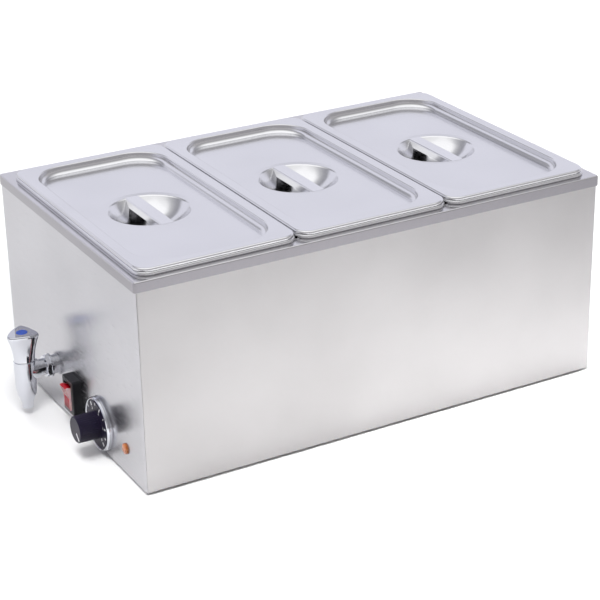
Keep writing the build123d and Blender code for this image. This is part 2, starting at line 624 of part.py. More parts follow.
def switch_rocker():
    """Red rocker with a dished face, its upper end out at rest."""
    face, rim, back, heel, edge = 6.0, 5.0, 4.0, 8.0, 0.8
    half, dish_angle = ROCKER_HALF_HEIGHT, 10.0
    tip = face + half * tan(radians(dish_angle))
    outline = [(-face, 0), (-tip, half), (-rim, half), (back, heel)]
    outline += [(back, -heel), (-rim, -half), (-tip, -half)]
    profile = Plane.XZ * make_face(Polyline(*outline, close=True))
    rocker = extrude(profile, ROCKER_WIDTH / 2, both=True)
    rocker = fillet(rocker.edges().filter_by(Axis.Y).sort_by(Axis.X)[0:2], edge)
    pivot_x = PANEL_X - SWITCH_PROUD + ROCKER_PIVOT
    rocker -= rod_y(ROCKER_PIN + FIT / 2, ROCKER_WIDTH, 0, 0, 0)
    return Pos(pivot_x, SWITCH_Y, SWITCH_Z) * Rot(0, -ROCKER_TILT, 0) * rocker


def switch_pivot():
    """Steel pin that the rocker turns on, held in the housing."""
    length = 20.0
    return rod_y(ROCKER_PIN, length, PANEL_X - SWITCH_PROUD + ROCKER_PIVOT, SWITCH_Y, SWITCH_Z)


def switch_terminals():
    """Four blade terminals on the back of the switch."""
    back, length = PANEL_X + SWITCH_BODY_DEPTH, BLADE_LENGTH
    blades = []
    for y in (SWITCH_Y - BLADE_Y, SWITCH_Y + BLADE_Y):
        for z in (SWITCH_Z - BLADE_Z, SWITCH_Z + BLADE_Z):
            half_y, half_z = 2.4, BLADE_HALF
            blades.append(block((back, back + length), (y - half_y, y + half_y), (z - half_z, z + half_z)))
    return blades


# ---- thermostat and dial ---------------------------------------------------------------------
def thermostat_body():
    """Capillary thermostat behind the panel, with a neck round the shaft."""
    front = PANEL_X + SHEET
    back = front + THERMOSTAT_DEPTH
    half_y, half_z, corner = 20.0, 19.0, 3.0
    body = block((front, back), (DIAL_Y - half_y, DIAL_Y + half_y), (DIAL_Z - half_z, DIAL_Z + half_z))
    body = fillet(body.edges().filter_by(Axis.X), corner)
    body += rod_x(THERMOSTAT_NECK, PANEL_X, front, DIAL_Y, DIAL_Z)
    blade_low = DIAL_Z + BLADE_LIFT - BLADE_HALF
    for y in (DIAL_Y - BLADE_Z, DIAL_Y + BLADE_Z):
        body += block((back, back + BLADE_LENGTH), (y - BLADE_WIDE, y + BLADE_WIDE),
                      (blade_low, blade_low + 2 * BLADE_HALF))
    for y, z in THERMOSTAT_SCREWS:
        body -= rod_x(THERMOSTAT_SCREW_RADIUS, front, PANEL_X + THERMOSTAT_SCREW_END, y, z)
    return body - rod_x(SHAFT_RADIUS + SPINDLE_PLAY, PANEL_X, PANEL_X + SHAFT_END, DIAL_Y, DIAL_Z)


def thermostat_screws():
    """Two screws that fix the thermostat to the panel, behind the dial's skirt."""
    head_radius, head_height = 3.4, 1.6
    screws = []
    for y, z in THERMOSTAT_SCREWS:
        head = rod_x(head_radius, PANEL_X - head_height, PANEL_X, y, z)
        screws.append(head + rod_x(THERMOSTAT_SCREW_RADIUS, PANEL_X, PANEL_X + THERMOSTAT_SCREW_END, y, z))
    return screws


def thermostat_shaft():
    """Shaft that the dial is pressed on."""
    return rod_x(SHAFT_RADIUS, PANEL_X - KNOB_REACH + SHAFT_COVER, PANEL_X + SHAFT_END, DIAL_Y, DIAL_Z)


def thermostat_capillary():
    """Thin capillary from the thermostat to its bulb under the tank floor."""
    back = PANEL_X + SHEET + THERMOSTAT_DEPTH
    points = [(back, DIAL_Y, DIAL_Z - 8), (back + 25, DIAL_Y, DIAL_Z - 8)]
    points += [(back + 60, DIAL_Y + 25, DIAL_Z - 4), (back + 95, DIAL_Y + 40, BULB_Z - 10)]
    points += [(BULB_X_LOW - 30, BULB_Y, BULB_Z), (BULB_X_LOW, BULB_Y, BULB_Z)]
    return tube(points, CAPILLARY_RADIUS)


def thermostat_bulb():
    """Sensing bulb that lies against the tank floor."""
    bulb = rod_x(BULB_RADIUS, BULB_X_LOW, BULB_X_HIGH, BULB_Y, BULB_Z)
    return fillet(bulb.edges(), BULB_END)


def bulb_clips():
    """Spring clips that press the bulb to the tank floor."""
    half_x, wing, inset = 5.0, 14.0, 20.0
    inner, outer = BULB_RADIUS + FIT / 2, BULB_RADIUS + SHEET
    ceiling = TANK_FLOOR - SHEET
    clips = []
    for x in (BULB_X_LOW + inset, BULB_X_HIGH - inset):
        x_span, wings = (x - half_x, x + half_x), (BULB_Y - wing, BULB_Y + wing)
        saddle = rod_x(outer, *x_span, BULB_Y, BULB_Z)
        saddle += block(x_span, (BULB_Y - outer, BULB_Y + outer), (BULB_Z, ceiling))
        clip = block(x_span, wings, (ceiling - SHEET, ceiling))
        clip += saddle & block(x_span, wings, (0, ceiling))
        clip -= rod_x(inner, *x_span, BULB_Y, BULB_Z)
        clips.append(clip - block(x_span, (BULB_Y - inner, BULB_Y + inner), (BULB_Z, ceiling)))
    return clips


def dial_bezel():
    """Polished ring round the dial, fixed to the panel."""
    gap = 0.8
    inner = SKIRT_RADIUS + gap
    profile = [(0, BEZEL_RADIUS - 0.6), (0, inner), (4.6, inner), (5.4, inner + 0.5), (5.6, inner + 1.1)]
    profile += [(5.0, BEZEL_RADIUS - 0.8), (3.6, BEZEL_RADIUS - 0.2), (1.4, BEZEL_RADIUS)]
    return around_x(profile, PANEL_X, DIAL_Y, DIAL_Z)


def dial_knob():
    """Black dial: flat skirt with a tall fluted grip, bored for the shaft."""
    skirt_edge, grip_edge, draft = 0.6, 0.9, 0.4
    profile = [(SKIRT_BACK, 0), (SKIRT_BACK, SKIRT_RADIUS), (SKIRT_FRONT - skirt_edge, SKIRT_RADIUS)]
    profile += [(SKIRT_FRONT, SKIRT_RADIUS - skirt_edge), (SKIRT_FRONT, KNOB_RADIUS + draft)]
    profile += [(KNOB_REACH - grip_edge, KNOB_RADIUS), (KNOB_REACH, KNOB_RADIUS - grip_edge)]
    profile += [(KNOB_REACH, 0)]
    knob = around_x(profile, PANEL_X, DIAL_Y, DIAL_Z)
    flute, flute_out, flute_end = 0.7, 0.55, 1.5
    for index in range(FLUTES):
        angle = 2 * pi * index / FLUTES
        reach = KNOB_RADIUS + flute_out
        y, z = DIAL_Y + reach * cos(angle), DIAL_Z + reach * sin(angle)
        knob -= rod_x(flute, PANEL_X - KNOB_REACH, PANEL_X - SKIRT_FRONT - flute_end, y, z)
    return knob - rod_x(SHAFT_RADIUS, PANEL_X - KNOB_REACH + SHAFT_COVER, PANEL_X, DIAL_Y, DIAL_Z)


def dial_markings():
    """Raised white scale marks on the skirt and the pointer line on the grip."""
    thick, margin = (-0.25, 0), 0.9
    marks = []
    for index in range(TICKS):
        angle = TICK_START - index * TICK_SWEEP / (TICKS - 1)
        reach, half = (4.2, 0.65) if index % 2 == 0 else (2.6, 0.45)
        outer = SKIRT_RADIUS - margin
        mark = block(thick, (outer - reach, outer), (-half, half))
        marks.append(Pos(PANEL_X - SKIRT_FRONT, DIAL_Y, DIAL_Z) * Rot(angle, 0, 0) * mark)
    pointer_start, pointer_end, half = 4.0, KNOB_RADIUS - 1.4, 0.7
    pointer = block(thick, (pointer_start, pointer_end), (-half, half))
    marks.append(Pos(PANEL_X - KNOB_REACH, DIAL_Y, DIAL_Z) * Rot(TICK_START, 0, 0) * pointer)
    return marks


# ---- pilot light, mains inlet and wiring ------------------------------------------------------
def pilot_lens():
    """Amber lens that stands proud of the panel."""
    profile = [(0, 0), (0, PILOT_RADIUS), (1.6, PILOT_RADIUS), (2.4, PILOT_RADIUS - 1.0)]
    profile += [(2.9, PILOT_RADIUS - 2.6), (3.1, 0)]
    return around_x(profile, PANEL_X, PILOT_Y, PILOT_Z)


def pilot_body():
    """Lamp holder behind the panel."""
    back, clip, clip_height, leg, leg_y, leg_half_z = PANEL_X + 16.0, 2.4, 2.5, 6.0, 2.0, 1.4
    inside = PANEL_X + SHEET
    holder = rod_x(PILOT_NECK, PANEL_X, back, PILOT_Y, PILOT_Z)
    holder += rod_x(PILOT_NECK + clip, inside, inside + clip_height, PILOT_Y, PILOT_Z)
    z_span = (PILOT_Z - leg_half_z, PILOT_Z + leg_half_z)
    for y in (PILOT_Y - leg_y, PILOT_Y + leg_y):
        holder += block((back, back + leg), (y - BLADE_HALF, y + BLADE_HALF), z_span)
    return holder


def cable_inlet():
    """Snap-in bush that lines the mains cord's hole in the back of the casing."""
    neck, depth, proud = INLET_HOLE - FIT, 6.0, 1.3
    outline = [(INLET_BORE, proud), (10.0, proud), (10.4, proud / 2), (10.4, 0), (neck, 0), (neck, -SHEET)]
    outline += [(9.2, -SHEET - 0.4), (8.4, -depth), (INLET_BORE, -depth)]
    bush = revolve(make_face(Polyline(*outline, close=True)), Axis.Y)
    return Pos(INLET_X, CASE_Y, INLET_Z) * bush


def terminal_block():
    """Three-pole terminal block on the floor."""
    half_x, half_y, height, edge = 9.0, BLOCK_POLES * POLE_PITCH / 2, 14.0, 2.0
    wire_radius, screw_radius = 2.2, BLOCK_SCREW + FIT
    top = BASE_TOP + height
    x_span = (BLOCK_X - half_x, BLOCK_X + half_x)
    body = block(x_span, (BLOCK_Y - half_y, BLOCK_Y + half_y), (BASE_TOP, top))
    body = fillet(body.edges().filter_by(Axis.Y).sort_by(Axis.Z)[-2:], edge)
    for x, y in pole_places():
        body -= rod_x(wire_radius, *x_span, y, BASE_TOP + BLOCK_WIRE_LEVEL)
        body -= rod_z(screw_radius, BASE_TOP + BLOCK_WIRE_LEVEL, top, x, y)
    return body


def pole_places():
    """Where the terminal block's clamping screws stand, two on each pole."""
    rows = [BLOCK_Y + (pole - (BLOCK_POLES - 1) / 2) * POLE_PITCH for pole in range(BLOCK_POLES)]
    return [(BLOCK_X + side * BLOCK_SCREW_X, y) for y in rows for side in (-1, 1)]


def terminal_screws():
    """Clamping screws of the terminal block."""
    low, high = BASE_TOP + 8.5, BASE_TOP + 12.5
    return [rod_z(BLOCK_SCREW, low, high, x, y) for x, y in pole_places()]


def earth_stud():
    """Earthing stud with its head under the floor."""
    length, head = 12.0, 2.0
    stud = rod_z(EARTH_RADIUS, RETURN_Z, BASE_TOP + length, EARTH_X, EARTH_Y)
    return stud + hexagon_z(NUT_FLATS, RETURN_Z - head, RETURN_Z, EARTH_X, EARTH_Y)


def earth_nut():
    """Nut on the earthing stud."""
    nut = hexagon_z(NUT_FLATS, BASE_TOP, BASE_TOP + NUT_HEIGHT, EARTH_X, EARTH_Y)
    return nut - rod_z(EARTH_RADIUS, BASE_TOP, BASE_TOP + NUT_HEIGHT, EARTH_X, EARTH_Y)


def overheat_cutout():
    """Dry-run cut-out disc pressed to the tank floor."""
    half_x, height, leg = 3.0, 8.0, 6.0
    ceiling = TANK_FLOOR - SHEET
    low = ceiling - height
    disc = rod_z(CUTOUT_RADIUS, low, ceiling, CUTOUT_X, CUTOUT_Y)
    for y in (CUTOUT_Y - CUTOUT_LEG_Y, CUTOUT_Y + CUTOUT_LEG_Y):
        y_span = (y - BLADE_HALF, y + BLADE_HALF)
        disc += block((CUTOUT_X - half_x, CUTOUT_X + half_x), y_span, (low - leg, low))
    return disc


def cutout_bracket():
    """Flat strap that holds the cut-out to the tank floor."""
    half_x, half_y = 18.0, 10.0
    ceiling = TANK_FLOOR - SHEET
    x_span, y_span = (CUTOUT_X - half_x, CUTOUT_X + half_x), (CUTOUT_Y - half_y, CUTOUT_Y + half_y)
    strap = block(x_span, y_span, (ceiling - SHEET, ceiling))
    return strap - rod_z(CUTOUT_RADIUS + FIT, ceiling - SHEET, ceiling, CUTOUT_X, CUTOUT_Y)


def wiring_leads():
    """Insulated leads between the terminal block, switch, thermostat, cut-out and heater."""
    switch_back = PANEL_X + SWITCH_BODY_DEPTH + BLADE_LENGTH + LEAD_GAP
    dial_back = PANEL_X + SHEET + THERMOSTAT_DEPTH + BLADE_LENGTH + 2 * LEAD_GAP
    pin_z = TANK_FLOOR - HEATER_TAIL - 14.5
    block_z = BASE_TOP + BLOCK_WIRE_LEVEL
    near_block = BLOCK_X - 9.5
    cutout_z = TANK_FLOOR - SHEET - 15.5
    back_x, back_y = HEATER_ENDS[1]
    routes = [
        [(near_block, BLOCK_Y - POLE_PITCH, block_z), (near_block - 22, BLOCK_Y - POLE_PITCH, block_z),
         (switch_back + 12, SWITCH_Y + 50, block_z + 4), (switch_back + 16, SWITCH_Y + 12, SWITCH_Z - 12),
         (switch_back, SWITCH_Y + BLADE_Y, SWITCH_Z - BLADE_Z)],
        [(switch_back, SWITCH_Y - BLADE_Y, SWITCH_Z + BLADE_Z),
         (switch_back + 18, SWITCH_Y - 14, SWITCH_Z + 6), (dial_back + 16, DIAL_Y + 26, DIAL_Z + 8),
         (dial_back, DIAL_Y + BLADE_Z, DIAL_Z + BLADE_LIFT)],
        [(dial_back, DIAL_Y - BLADE_Z, DIAL_Z + BLADE_LIFT), (dial_back + 26, DIAL_Y - 12, DIAL_Z + 2),
         (dial_back + 62, DIAL_Y + 2, 22), (CUTOUT_X - 2, CUTOUT_Y - 42, 24),
         (CUTOUT_X + 4, CUTOUT_Y - 12, 32), (CUTOUT_X, CUTOUT_Y - CUTOUT_LEG_Y, cutout_z)],
        [(CUTOUT_X, CUTOUT_Y + CUTOUT_LEG_Y, cutout_z), (CUTOUT_X - 4, CUTOUT_Y + 14, 30),
         (CUTOUT_X - 40, CUTOUT_Y + 20, 24), (back_x + 8, back_y - 20, 18), (back_x, back_y, pin_z)],
    ]
    return [tube(points, LEAD_RADIUS) for points in routes]


# ---- pans and lids --------------------------------------------------------------------------------
def tapered(length, width, radius, top, low):
    """A block that narrows downwards from its top outline."""
    outline = Pos(0, 0, top) * RectangleRounded(length, width, radius)
    return extrude(outline, top - low, dir=(0, 0, -1), taper=PAN_TAPER)


def pan(centre_x):
    """Deep food pan with a flat flange and a rolled-down rim."""
    low = PAN_RIM_TOP - PAN_DEPTH
    rim = slab(PAN_WIDTH, PAN_LENGTH, PAN_RIM_CORNER, PAN_RIM_LOW, PAN_RIM_TOP)
    rim = fillet(edges_at(rim, PAN_RIM_TOP), PAN_EDGE_FILLET)
    flange_low = PAN_RIM_TOP - PAN_SHEET
    inside = (PAN_WIDTH - 2 * PAN_SHEET, PAN_LENGTH - 2 * PAN_SHEET, PAN_RIM_CORNER - PAN_SHEET)
    rim -= fillet(edges_at(slab(*inside, PAN_RIM_LOW, flange_low), flange_low), PAN_EDGE_FILLET - PAN_SHEET)
    length, width = PAN_WIDTH - 2 * PAN_FLANGE, PAN_LENGTH - 2 * PAN_FLANGE
    outer = tapered(length, width, PAN_BODY_CORNER, flange_low, low)
    outer = fillet(edges_at(outer, low), PAN_BOTTOM_FILLET + PAN_SHEET)
    shell = rim + outer
    thin = 2 * PAN_SHEET
    inner = tapered(length - thin, width - thin, PAN_BODY_CORNER - PAN_SHEET, flange_low, low + PAN_SHEET)
    inner = fillet(edges_at(inner, low + PAN_SHEET), PAN_BOTTOM_FILLET)
    inner += slab(length - thin, width - thin, PAN_BODY_CORNER - PAN_SHEET, flange_low, PAN_RIM_TOP)
    return Pos(centre_x, WELL_Y, 0) * (shell - inner)


def bowl_solid(extra):
    """The round finger bowl's volume under the lid panel, grown by a wall thickness."""
    drop = BOWL_DEPTH - BOWL_SHOULDER_DROP
    ball = (BOWL_RADIUS ** 2 + drop ** 2) / (2 * drop)
    centre_z = LID_PANEL - BOWL_DEPTH + ball
    radius = ball + extra
    shoulder_z = LID_PANEL - BOWL_SHOULDER_DROP - extra
    lip_angle = acos((centre_z - shoulder_z) / radius)
    angles = (0, lip_angle / 2, lip_angle)
    arc = [(radius * sin(angle), 0, centre_z - radius * cos(angle)) for angle in angles]
    top = LID_PANEL + 1.0
    outline = [arc[-1], (BOWL_SHOULDER, 0, LID_PANEL - extra), (BOWL_SHOULDER, 0, top), (0, 0, top), arc[0]]
    return revolve(make_face(Wire([ThreePointArc(*arc), *Polyline(*outline).edges()])), Axis.Z)


def lid(centre_x):
    """Lid with a raised flange, a stepped-down panel and a round finger bowl."""
    plate = slab(LID_WIDTH, LID_LENGTH, PAN_RIM_CORNER, LID_LOW, LID_TOP)
    plate = fillet(edges_at(plate, LID_TOP), LID_EDGE_FILLET)
    inside = (LID_WIDTH - 2 * LID_SHEET, LID_LENGTH - 2 * LID_SHEET, PAN_RIM_CORNER - LID_SHEET)
    under = LID_TOP - LID_SHEET
    plate -= fillet(edges_at(slab(*inside, LID_LOW, under), under), LID_EDGE_FILLET - LID_SHEET)
    low = LID_PANEL - LID_SHEET
    thick = 2 * LID_SHEET
    outside = (LID_RECESS_WIDTH + thick, LID_RECESS_LENGTH + thick, LID_RECESS_CORNER + LID_SHEET)
    tray = slab(*outside, low, under)
    tray = fillet(edges_at(tray, low), LID_STEP_FILLET + LID_SHEET)
    shell = plate + tray + bowl_solid(LID_SHEET)
    recess = slab(LID_RECESS_WIDTH, LID_RECESS_LENGTH, LID_RECESS_CORNER, LID_PANEL, LID_TOP)
    recess = fillet(edges_at(recess, LID_PANEL), LID_STEP_FILLET)
    shell -= recess
    shell -= bowl_solid(0)
    shell = fillet(lip_edge(shell), BOWL_LIP_FILLET)
    shell = fillet(recess_lip(shell), LID_LIP_FILLET)
    return Pos(centre_x, WELL_Y, 0) * shell


def lip_edge(shell):
    """The upper edge where the finger bowl drops from its sloping shoulder."""
    circles = edges_at(shell, LID_PANEL - BOWL_SHOULDER_DROP)
    return circles.filter_by(GeomType.CIRCLE)


def recess_lip(shell):
    """The upper edge of the recess, without the lid's own outer edge."""
    reach = LID_RECESS_LENGTH / 2 + FIT
    side = LID_RECESS_WIDTH / 2 + FIT
    middles = [(edge, edge @ 0.5) for edge in edges_at(shell, LID_TOP)]
    return [edge for edge, middle in middles if abs(middle.X) <= side and abs(middle.Y) <= reach]


def lid_bar(centre_x):
    """Channel-shaped grip bar across the bowl, level with the lid panel."""
    top = LID_PANEL - 0.4
    low = top - BAR_HEIGHT
    half, wall, edge = BAR_WIDTH / 2, 1.2, 1.5
    bar = block((-half, half), (-BOWL_SHOULDER, BOWL_SHOULDER), (low, top))
    bar = fillet(bar.edges().filter_by(Axis.Y).sort_by(Axis.Z)[-2:], edge)
    bar -= block((wall - half, half - wall), (-BOWL_SHOULDER, BOWL_SHOULDER), (low, top - wall))
    bar &= Pos(0, 0, 0.02) * bowl_solid(-0.05)
    return Pos(centre_x, WELL_Y, 0) * bar


# ---- every node --------------------------------------------------------------------------------
SINGLES = [
    top_deck, body_wrapper, control_panel, base_plate, base_screws, rubber_feet, foot_screws,
    foot_nuts, water_tank, heating_element, element_bushes, element_gaskets, element_nuts,
    element_terminals, element_clips, drain_elbow, tap_body, tap_nozzle, tap_bonnet, tap_spindle,
    tap_handle, tap_handle_screw, tap_index_disc, tap_flange_nut, tap_washer, tap_locknut,
    switch_housing, switch_rocker, switch_pivot, switch_terminals, thermostat_body, thermostat_screws,
    thermostat_shaft, thermostat_capillary, thermostat_bulb, bulb_clips, dial_bezel, dial_knob,
    dial_markings, pilot_lens, pilot_body, cable_inlet, terminal_block, terminal_screws,
    earth_stud, earth_nut, overheat_cutout, cutout_bracket, wiring_leads,
]


def write_node(name, shape):
    """Moves a sub-part from casing coordinates to the part's frame and writes its file."""
    pieces = shape if isinstance(shape, list) else [shape]
    solids = [solid for piece in pieces for solid in piece.solids()]
    moved = [Pos(CASE_SHIFT, 0, 0) * solid for solid in solids]
    export_step(moved[0] if len(moved) == 1 else Compound(moved), f"parts/{name}.step")


def main():
    os.makedirs("parts", exist_ok=True)
    for build in SINGLES:
        write_node(build.__name__, build())
    for name, centre_x in zip(PAN_NAMES, PAN_CENTRES):
        write_node(f"pan_{name}", pan(centre_x))
        write_node(f"lid_{name}", lid(centre_x))
        write_node(f"lid_bar_{name}", lid_bar(centre_x))


if __name__ == "__main__":
    main()
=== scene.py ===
"""Looks for the countertop steam table: materials, printed marks, studio and camera."""
import math

import bpy
from mathutils import Matrix, Vector


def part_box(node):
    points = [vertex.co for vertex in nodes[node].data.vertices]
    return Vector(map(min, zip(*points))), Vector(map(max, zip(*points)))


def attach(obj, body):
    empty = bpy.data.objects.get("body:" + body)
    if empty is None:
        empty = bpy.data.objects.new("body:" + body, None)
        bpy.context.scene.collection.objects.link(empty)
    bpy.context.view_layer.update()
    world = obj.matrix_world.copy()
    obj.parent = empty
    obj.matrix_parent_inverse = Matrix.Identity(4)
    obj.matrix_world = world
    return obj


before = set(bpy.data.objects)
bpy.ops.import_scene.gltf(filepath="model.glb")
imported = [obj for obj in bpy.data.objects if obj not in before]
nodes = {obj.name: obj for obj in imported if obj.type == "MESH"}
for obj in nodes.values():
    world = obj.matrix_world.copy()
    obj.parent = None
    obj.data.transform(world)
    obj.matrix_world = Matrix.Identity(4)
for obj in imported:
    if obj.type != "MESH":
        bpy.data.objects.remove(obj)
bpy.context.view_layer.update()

# ---- camera, from straight edges of the object ------------------------------------------
CAMERA_AZIMUTH = -28.911
CAMERA_ELEVATION = 24.092
CAMERA_ROLL = -1.16
CAMERA_DISTANCE = 2.0366
CAMERA_TARGET = Vector((0.02697, 0.0, 0.08196))
CAMERA_LENS = 110.24
SENSOR = 36.0


def make_camera():
    azimuth, elevation = math.radians(CAMERA_AZIMUTH), math.radians(CAMERA_ELEVATION)
    back = Vector((
        math.sin(azimuth) * math.cos(elevation),
        -math.cos(azimuth) * math.cos(elevation),
        math.sin(elevation),
    ))
    right = Vector((0, 0, 1)).cross(back).normalized()
    up = back.cross(right)
    roll = math.radians(CAMERA_ROLL)
    tilted_right = math.cos(roll) * right + math.sin(roll) * up
    tilted_up = -math.sin(roll) * right + math.cos(roll) * up
    data = bpy.data.cameras.new("camera")
    data.lens = CAMERA_LENS
    data.sensor_width = SENSOR
    data.clip_start, data.clip_end = 0.05, 60
    camera = bpy.data.objects.new("camera", data)
    bpy.context.scene.collection.objects.link(camera)
    turn = Matrix((tilted_right, tilted_up, back)).transposed().to_4x4()
    camera.matrix_world = Matrix.Translation(CAMERA_TARGET + back * CAMERA_DISTANCE) @ turn
    bpy.context.scene.camera = camera


# ---- shader helpers ---------------------------------------------------------------------
def new_material(name):
    material = bpy.data.materials.new(name)
    material.use_nodes = True
    tree = material.node_tree
    return material, tree, tree.nodes["Principled BSDF"]


def node(tree, kind, **values):
    made = tree.nodes.new(kind)
    for key, value in values.items():
        if hasattr(made, key):
            setattr(made, key, value)
        else:
            made.inputs[key.replace("_", " ")].default_value = value
    return made


def stretched_noise(tree, scale, stretch, detail=3.0, rough=0.6):
    """Noise in object space, squeezed along some axes so that it reads as brushing."""
    place = node(tree, "ShaderNodeTexCoord")
    mapping = node(tree, "ShaderNodeMapping")
    mapping.inputs["Scale"].default_value = stretch
    tree.links.new(place.outputs["Object"], mapping.inputs["Vector"])
    noise = node(tree, "ShaderNodeTexNoise", Scale=scale, Detail=detail, Roughness=rough)
    tree.links.new(mapping.outputs["Vector"], noise.inputs["Vector"])
    return noise.outputs["Fac"]


def ramp(tree, fac, low, high, start=0.3, end=0.7):
    """Maps a 0 to 1 value onto a range of another value."""
    made = node(tree, "ShaderNodeMapRange")
    tree.links.new(fac, made.inputs["Value"])
    for key, value in (("From Min", start), ("From Max", end), ("To Min", low), ("To Max", high)):
        made.inputs[key].default_value = value
    return made.outputs["Result"]


def colour_mix(tree, fac, first, second):
    made = node(tree, "ShaderNodeMix", data_type="RGBA")
    tree.links.new(fac, made.inputs["Factor"])
    ends = {"A": (*first, 1), "B": (*second, 1)}
    for socket in made.inputs:
        if socket.type == "RGBA":
            socket.default_value = ends[socket.name]
    return [socket for socket in made.outputs if socket.type == "RGBA"][0]


def bump(tree, shader, height, strength, distance, below=None):
    made = node(tree, "ShaderNodeBump")
    made.inputs["Strength"].default_value = strength
    made.inputs["Distance"].default_value = distance
    tree.links.new(height, made.inputs["Height"])
    if below is not None:
        tree.links.new(below, made.inputs["Normal"])
    tree.links.new(made.outputs["Normal"], shader.inputs["Normal"])
    return made.outputs["Normal"]


def metal(name, light, dark, rough, grain, grain_scale, grain_bump, waves=0.0, patch_scale=9.0):
    """Steel sheet: patchy tone, fine directional grain in roughness and bump, soft waves."""
    material, tree, shader = new_material(name)
    shader.inputs["Metallic"].default_value = 1.0
    patches = stretched_noise(tree, patch_scale, (1, 1, 1), detail=2.0, rough=0.5)
    tree.links.new(colour_mix(tree, ramp(tree, patches, 0, 1), dark, light), shader.inputs["Base Color"])
    fine = stretched_noise(tree, grain_scale, grain, detail=2.0, rough=0.6)
    tree.links.new(ramp(tree, fine, rough[0], rough[1]), shader.inputs["Roughness"])
    below = None
    if waves:
        swell = stretched_noise(tree, 7.0, (1, 1, 1), detail=0.0)
        below = bump(tree, shader, swell, 1.0, waves)
    bump(tree, shader, fine, 0.4, grain_bump, below)
    return material


def plastic(name, colour, rough, grain_bump=0.00002, coat=0.0, shine=0.35):
    """Moulded plastic: fine texture in roughness and bump."""
    material, tree, shader = new_material(name)
    cloud = stretched_noise(tree, 60.0, (1, 1, 1), detail=3.0)
    darker = tuple(value * 0.85 for value in colour)
    tree.links.new(colour_mix(tree, cloud, darker, colour), shader.inputs["Base Color"])
    tree.links.new(ramp(tree, cloud, rough[0], rough[1]), shader.inputs["Roughness"])
    shader.inputs["Coat Weight"].default_value = coat
    shader.inputs["Specular IOR Level"].default_value = shine
    speck = stretched_noise(tree, 900.0, (1, 1, 1), detail=2.0)
    bump(tree, shader, speck, 0.3, grain_bump)
    return material


def lens(name, colour, deep):
    """Tinted clear plastic."""
    material, tree, shader = new_material(name)
    cloud = stretched_noise(tree, 300.0, (1, 1, 1), detail=2.0)
    tree.links.new(colour_mix(tree, cloud, deep, colour), shader.inputs["Base Color"])
    tree.links.new(ramp(tree, cloud, 0.12, 0.22), shader.inputs["Roughness"])
    shader.inputs["Transmission Weight"].default_value = 0.25
    shader.inputs["Subsurface Weight"].default_value = 0.2
    shader.inputs["Subsurface Radius"].default_value = (0.004, 0.001, 0.0005)
    shader.inputs["Coat Weight"].default_value = 0.6
    bump(tree, shader, cloud, 0.2, 0.00003)
    return material


def tint(tree, shader, amount, colour):
    """Lays a colour over the base colour, by an amount from 0 to 1."""
    mixed = node(tree, "ShaderNodeMixRGB")
    tree.links.new(amount, mixed.inputs["Fac"])
    tree.links.new(shader.inputs["Base Color"].links[0].from_socket, mixed.inputs["Color1"])
    mixed.inputs["Color2"].default_value = (*colour, 1)
    tree.links.new(mixed.outputs["Color"], shader.inputs["Base Color"])


def dull_sides(material, colour):
    """Painted shade: the folded flange's upright faces get a darker base colour than the flat of the
    deck.
    """
    tree = material.node_tree
    shader = tree.nodes["Principled BSDF"]
    place = node(tree, "ShaderNodeTexCoord")
    split = node(tree, "ShaderNodeSeparateXYZ")
    tree.links.new(place.outputs["Normal"], split.inputs["Vector"])
    # painted shade: a darker base colour laid over the upright faces
    upright = ramp(tree, split.outputs["Z"], 1, 0, 0.05, 0.40)
    tint(tree, shader, upright, colour)


def rocker_lens():
    """The red lens: painted shade darkens it towards its foot, and a painted highlight makes its edges
    pale where light comes out of its sides.
    """
    material = lens("red_rocker", (0.50, 0.006, 0.020), (0.34, 0.003, 0.010))
    tree = material.node_tree
    shader = tree.nodes["Principled BSDF"]
    shader.inputs["Coat Weight"].default_value = 0.0
    shader.inputs["Specular IOR Level"].default_value = 0.2
    low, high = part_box("switch_rocker")
    middle, half = (low[1] + high[1]) / 2, (high[1] - low[1]) / 2
    waist, foot = (low[2] + high[2]) / 2, low[2]
    place = node(tree, "ShaderNodeTexCoord")
    split = node(tree, "ShaderNodeSeparateXYZ")
    tree.links.new(place.outputs["Object"], split.inputs["Vector"])
    aside = node(tree, "ShaderNodeMath", operation="SUBTRACT")
    tree.links.new(split.outputs["Y"], aside.inputs[0])
    aside.inputs[1].default_value = middle
    reach = node(tree, "ShaderNodeMath", operation="ABSOLUTE")
    tree.links.new(aside.outputs["Value"], reach.inputs[0])
    # painted highlight: pale base colour along the lens's side edges
    edge_highlight = ramp(tree, reach.outputs["Value"], 0, 1, 0.80 * half, 0.98 * half)
    # painted shade: darker base colour towards the lens's foot
    foot_shade = ramp(tree, split.outputs["Z"], 0.8, 0, foot, waist)
    tint(tree, shader, foot_shade, (0.12, 0.003, 0.008))
    tint(tree, shader, edge_highlight, (0.80, 0.55, 0.56))
    return material


